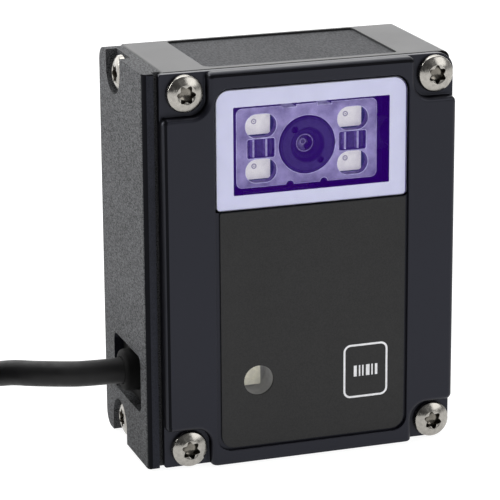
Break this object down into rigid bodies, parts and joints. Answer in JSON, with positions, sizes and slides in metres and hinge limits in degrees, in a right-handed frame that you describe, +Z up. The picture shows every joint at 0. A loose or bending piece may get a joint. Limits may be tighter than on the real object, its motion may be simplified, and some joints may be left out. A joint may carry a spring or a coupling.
{
  "type": "fixed barcode reader",
  "caption": "Small boxy built-in code reader with a glazed reading window, screwed front cover, side plate, film-covered key, status light hole and a coiled round cable with a plug.",
  "frame": {"origin": "middle of the base of the body, cable left out", "axes": "+Z up, +X to the right seen from the front, +Y from the reading window towards the back"},
  "size_m": [0.1166, 0.0472, 0.0525],
  "materials": {
    "housing_black": "smooth satin black",
    "plate_grey": "fine sand texture",
    "seal_rubber": "matte",
    "screw_steel": "stainless, turned",
    "window_clear": "coated clear with a pale printed border",
    "tape_black": "adhesive",
    "overlay_film": "fine matte film with a printed key outline",
    "clear_moulding": "clear moulded plastic",
    "lens_glass": "polished, coated",
    "inner_black": "matte",
    "led_white": "white package",
    "board_green": "lacquered board",
    "chassis_grey": "cast, matte",
    "chip_black": "moulded",
    "flex_amber": "flexible film",
    "connector_ivory": "moulded",
    "part_tan": "ceramic",
    "wire_red": "insulation",
    "sleeve_grey": "moulded",
    "cable_black": "matte jacket",
    "tie_fabric": "hook-and-loop strap",
    "plug_metal": "nickel plated",
    "contact_gold": "plated"
  },
  "bodies": {
    "reader": {"main_housing": "housing_black", "side_plate": "plate_grey", "side_gasket": "seal_rubber", "side_screws": "screw_steel", "front_cover": "housing_black", "front_gasket": "seal_rubber", "front_screws": "screw_steel", "window_plate": "window_clear", "window_tape": "tape_black", "front_overlay": "overlay_film", "engine_lens_plate": "clear_moulding", "aimer_lenses": "clear_moulding", "lens_barrel": "inner_black", "front_lens": "lens_glass", "rear_lens": "lens_glass", "illumination_leds": "led_white", "aimer_leds": "led_white", "led_board": "board_green", "engine_chassis": "chassis_grey", "engine_mount_screws": "screw_steel", "image_sensor": "chip_black", "sensor_board": "board_green", "engine_screws": "screw_steel", "engine_flex": "flex_amber", "flex_socket": "connector_ivory", "main_board": "board_green", "board_screws": "screw_steel", "processor_chip": "chip_black", "memory_chip": "chip_black", "crystal_can": "plug_metal", "board_parts": "part_tan", "buzzer": "chip_black", "cable_header": "connector_ivory", "cable_connector": "connector_ivory", "inner_wires": "wire_red", "front_board": "board_green", "front_board_screws": "screw_steel", "status_led": "led_white", "light_sleeve": "sleeve_grey", "tact_switch": "chip_black", "link_flex": "flex_amber", "cable_bushing": "seal_rubber", "cable_lead": "cable_black", "cable_coil": "cable_black", "cable_tail": "cable_black", "cable_tie": "tie_fabric", "plug_body": "cable_black", "plug_shell": "plug_metal", "plug_tongue": "connector_ivory", "plug_contacts": "contact_gold"},
    "key": {"scan_key": "inner_black", "switch_stem": "led_white"}
  },
  "joints": [
    {"name": "key_press", "type": "slide", "parent": "reader", "child": "key", "axis": [0, 1, 0], "range_m": [0, 0.00025], "stiffness_N_per_m": 4000}
  ]
}
